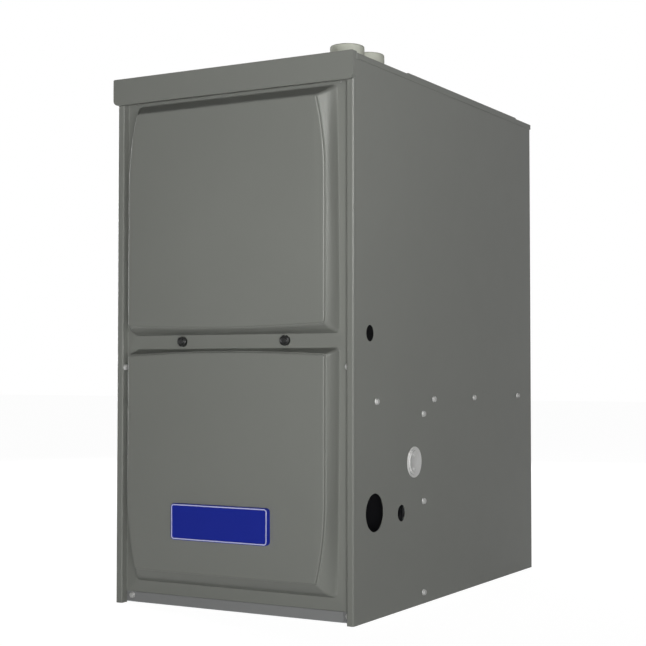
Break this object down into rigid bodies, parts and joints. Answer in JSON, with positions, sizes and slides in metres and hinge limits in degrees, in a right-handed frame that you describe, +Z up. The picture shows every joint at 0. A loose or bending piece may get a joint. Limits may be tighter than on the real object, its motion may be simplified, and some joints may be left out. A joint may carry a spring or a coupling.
{
  "type": "forced air gas furnace",
  "caption": "Upright forced air gas furnace: grey steel cabinet with lift-off pressed doors, top duct flange, flue collars, and burners, heat exchanger and blower inside.",
  "frame": {"origin": "on the floor, under the middle of the whole furnace, with its badge and screws counted", "axes": "+X to the furnace's right as it faces the viewer, +Y from the doors to the back, +Z up"},
  "size_m": [0.4444, 0.7472, 0.8795],
  "materials": {
    "cabinet_paint": "satin",
    "front_paint": "satin",
    "rail_paint": "satin",
    "galvanised": "matte",
    "zinc": "bright zinc",
    "aluminised": "matte",
    "coil_metal": "plain",
    "black_plastic": "matte",
    "motor_black": "semi-gloss",
    "collar_grey": "matte",
    "pipe_white": "satin",
    "plug_grey": "matte",
    "badge_blue": "semi-gloss",
    "liner_foil": "foil faced fibre blanket",
    "brass": "plain",
    "cast_metal": "die cast",
    "red_plastic": "matte",
    "ceramic": "glazed ceramic",
    "switch_body": "matte",
    "hose_rubber": "matte",
    "hose_orange": "satin",
    "board_green": "satin",
    "wire_sheath": "satin"
  },
  "bodies": {
    "cabinet": {"casing": "cabinet_paint", "top_panel": "front_paint", "header_trim": "front_paint", "base_rail": "rail_paint", "bottom_panel": "galvanised", "blower_deck": "galvanised", "vestibule_panel": "galvanised", "cross_rail": "front_paint", "side_braces": "galvanised", "exhaust_collar": "collar_grey", "intake_collar": "collar_grey", "exhaust_pipe": "pipe_white", "intake_pipe": "pipe_white", "hole_plug": "plug_grey", "side_screws": "zinc", "back_screws": "zinc", "front_screws": "zinc", "primary_exchanger": "aluminised", "rear_header_box": "aluminised", "coil_tubes": "coil_metal", "coil_fins": "coil_metal", "condensate_collector": "black_plastic", "inducer_volute": "black_plastic", "inducer_motor": "motor_black", "burner_box": "galvanised", "burners": "aluminised", "gas_manifold": "motor_black", "gas_orifices": "brass", "gas_valve": "cast_metal", "igniter": "ceramic", "flame_sensor": "ceramic", "rollout_switches": "black_plastic", "limit_switch": "black_plastic", "pressure_switch": "switch_body", "pressure_hose": "hose_orange", "condensate_trap": "black_plastic", "drain_hose": "hose_rubber", "blower_wrap": "galvanised", "blower_left_side": "galvanised", "blower_right_side": "galvanised", "blower_motor": "motor_black", "motor_bracket": "zinc", "run_capacitor": "cast_metal", "control_panel": "galvanised", "control_board": "board_green", "transformer": "motor_black", "door_switch": "pipe_white", "junction_box": "galvanised", "wiring_harness": "wire_sheath"},
    "upper_door": {"upper_door": "front_paint"},
    "left_knob": {"left_knob": "black_plastic"},
    "right_knob": {"right_knob": "black_plastic"},
    "lower_door": {"lower_door": "front_paint", "lower_door_liner": "liner_foil", "door_striker": "galvanised", "badge_plate": "badge_blue"},
    "blower_wheel": {"blower_wheel": "aluminised", "blower_hub": "aluminised", "blower_shaft": "zinc"},
    "inducer_wheel": {"inducer_wheel": "coil_metal", "inducer_shaft": "zinc"},
    "gas_valve_switch": {"gas_valve_switch": "red_plastic"},
    "left_reset_button": {"left_reset_button": "red_plastic"},
    "right_reset_button": {"right_reset_button": "red_plastic"},
    "door_switch_plunger": {"door_switch_plunger": "black_plastic"}
  },
  "joints": [
    {"name": "upper_door_pull", "type": "slide", "parent": "cabinet", "child": "upper_door", "axis": [0, -1, 0], "range_m": [0, 0.25]},
    {"name": "lower_door_pull", "type": "slide", "parent": "cabinet", "child": "lower_door", "axis": [0, -1, 0], "range_m": [0, 0.25]},
    {"name": "left_knob_turn", "type": "hinge", "parent": "upper_door", "child": "left_knob", "pos_m": [-0.095, -0.3321, 0.4195], "axis": [0, 1, 0], "range_deg": [0, 90]},
    {"name": "right_knob_turn", "type": "hinge", "parent": "upper_door", "child": "right_knob", "pos_m": [0.095, -0.3321, 0.4195], "axis": [0, 1, 0], "range_deg": [0, 90]},
    {"name": "blower_spin", "type": "hinge", "parent": "cabinet", "child": "blower_wheel", "pos_m": [0, 0.1304, 0.166], "axis": [1, 0, 0], "continuous": true},
    {"name": "inducer_spin", "type": "hinge", "parent": "cabinet", "child": "inducer_wheel", "pos_m": [0.075, -0.2476, 0.49], "axis": [0, 1, 0], "continuous": true},
    {"name": "gas_valve_switch_slide", "type": "slide", "parent": "cabinet", "child": "gas_valve_switch", "axis": [1, 0, 0], "range_m": [0, 0.006]},
    {"name": "left_reset_push", "type": "slide", "parent": "cabinet", "child": "left_reset_button", "axis": [0, 0, -1], "range_m": [0, 0.002], "stiffness_N_per_m": 400},
    {"name": "right_reset_push", "type": "slide", "parent": "cabinet", "child": "right_reset_button", "axis": [0, 0, -1], "range_m": [0, 0.002], "stiffness_N_per_m": 400},
    {"name": "door_switch_push", "type": "slide", "parent": "cabinet", "child": "door_switch_plunger", "axis": [0, 1, 0], "range_m": [0, 0.004], "stiffness_N_per_m": 300}
  ]
}
